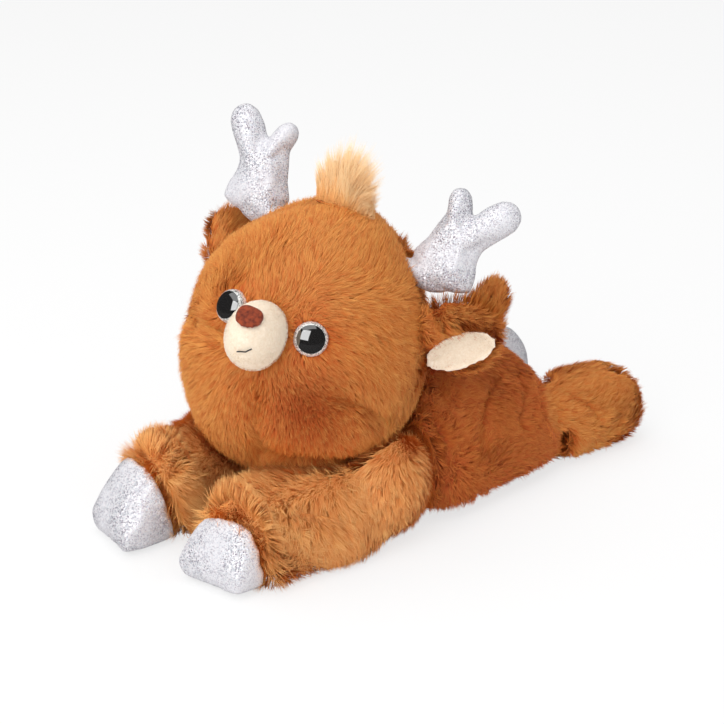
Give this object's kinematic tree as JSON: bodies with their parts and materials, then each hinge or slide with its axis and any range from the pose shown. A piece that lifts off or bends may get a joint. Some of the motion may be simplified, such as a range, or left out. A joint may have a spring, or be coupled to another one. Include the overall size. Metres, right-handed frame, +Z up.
{
  "type": "plush deer",
  "caption": "Stuffed plush deer lying on its belly, with its head turned, sparkling fabric antlers and hooves, lined ears and a short tail.",
  "frame": {"origin": "centre of the bounding box, on the surface that the deer lies on", "axes": "+Z up, -Y towards the front hooves, +X towards the deer's left side"},
  "size_m": [0.1722, 0.3378, 0.2185],
  "materials": {
    "fur": "long orange-brown plush fur",
    "pale_fur": "long pale strands",
    "cream_pile": "short cream pile",
    "nose_flock": "brown flock",
    "silver_lame": "silver sparkling knit",
    "eye_plastic": "polished black",
    "eye_glitter": "silver glitter",
    "washer_plastic": "moulded white"
  },
  "bodies": {
    "torso": {"torso": "fur"},
    "head": {"head": "fur", "muzzle": "cream_pile", "nose": "nose_flock", "crown_tuft": "pale_fur", "eye_lens_left": "eye_plastic", "eye_disc_left": "eye_glitter", "eye_washer_left": "washer_plastic", "eye_lens_right": "eye_plastic", "eye_disc_right": "eye_glitter", "eye_washer_right": "washer_plastic"},
    "ear_left": {"ear_back_left": "fur", "ear_lining_left": "cream_pile"},
    "ear_right": {"ear_back_right": "fur", "ear_lining_right": "cream_pile"},
    "antler_left": {"antler_left": "silver_lame"},
    "antler_right": {"antler_right": "silver_lame"},
    "foreleg_left": {"foreleg_left": "fur", "fore_hoof_left": "silver_lame"},
    "foreleg_right": {"foreleg_right": "fur", "fore_hoof_right": "silver_lame"},
    "hind_leg_left": {"hind_leg_left": "fur", "hind_hoof_left": "silver_lame"},
    "hind_leg_right": {"hind_leg_right": "fur", "hind_hoof_right": "silver_lame"},
    "tail": {"tail": "fur"}
  },
  "joints": [
    {"name": "head_turn", "type": "hinge", "parent": "torso", "child": "head", "pos_m": [-0.00122, -0.05358, 0.104], "axis": [0.043, 0.4345, 0.8996], "range_deg": [-15, 15], "stiffness_Nm_per_rad": 0.3},
    {"name": "ear_left_flop", "type": "hinge", "parent": "head", "child": "ear_left", "pos_m": [0.0533, -0.01607, 0.10499], "axis": [-0.0804, -0.2775, 0.9574], "range_deg": [-15, 15], "stiffness_Nm_per_rad": 0.08},
    {"name": "ear_right_flop", "type": "hinge", "parent": "head", "child": "ear_right", "pos_m": [-0.05982, -0.0633, 0.1332], "axis": [-0.3238, -0.6323, 0.7038], "range_deg": [-15, 15], "stiffness_Nm_per_rad": 0.08},
    {"name": "antler_left_bend", "type": "hinge", "parent": "head", "child": "antler_left", "pos_m": [0.04128, -0.01085, 0.13934], "axis": [0.8845, 0.3114, -0.3473], "range_deg": [-8, 8], "stiffness_Nm_per_rad": 0.15},
    {"name": "antler_right_bend", "type": "hinge", "parent": "head", "child": "antler_right", "pos_m": [-0.04207, -0.04566, 0.16014], "axis": [-0.8965, -0.4323, 0.0969], "range_deg": [-8, 8], "stiffness_Nm_per_rad": 0.15},
    {"name": "foreleg_left_swing", "type": "hinge", "parent": "torso", "child": "foreleg_left", "pos_m": [0.04777, -0.04558, 0], "axis": [0, 0, 1], "range_deg": [-6, 18], "stiffness_Nm_per_rad": 0.3},
    {"name": "foreleg_right_swing", "type": "hinge", "parent": "torso", "child": "foreleg_right", "pos_m": [-0.05223, -0.04558, 0], "axis": [0, 0, -1], "range_deg": [-6, 18], "stiffness_Nm_per_rad": 0.3},
    {"name": "hind_leg_left_swing", "type": "hinge", "parent": "torso", "child": "hind_leg_left", "pos_m": [0.03778, 0.07442, 0], "axis": [0, 0, -1], "range_deg": [-6, 14], "stiffness_Nm_per_rad": 0.3},
    {"name": "hind_leg_right_swing", "type": "hinge", "parent": "torso", "child": "hind_leg_right", "pos_m": [-0.04222, 0.07442, 0], "axis": [0, 0, 1], "range_deg": [-6, 14], "stiffness_Nm_per_rad": 0.3},
    {"name": "tail_wag", "type": "hinge", "parent": "torso", "child": "tail", "pos_m": [-0.00222, 0.08058, 0.06996], "axis": [0, -0.8988, 0.4384], "range_deg": [-20, 20], "stiffness_Nm_per_rad": 0.05}
  ]
}
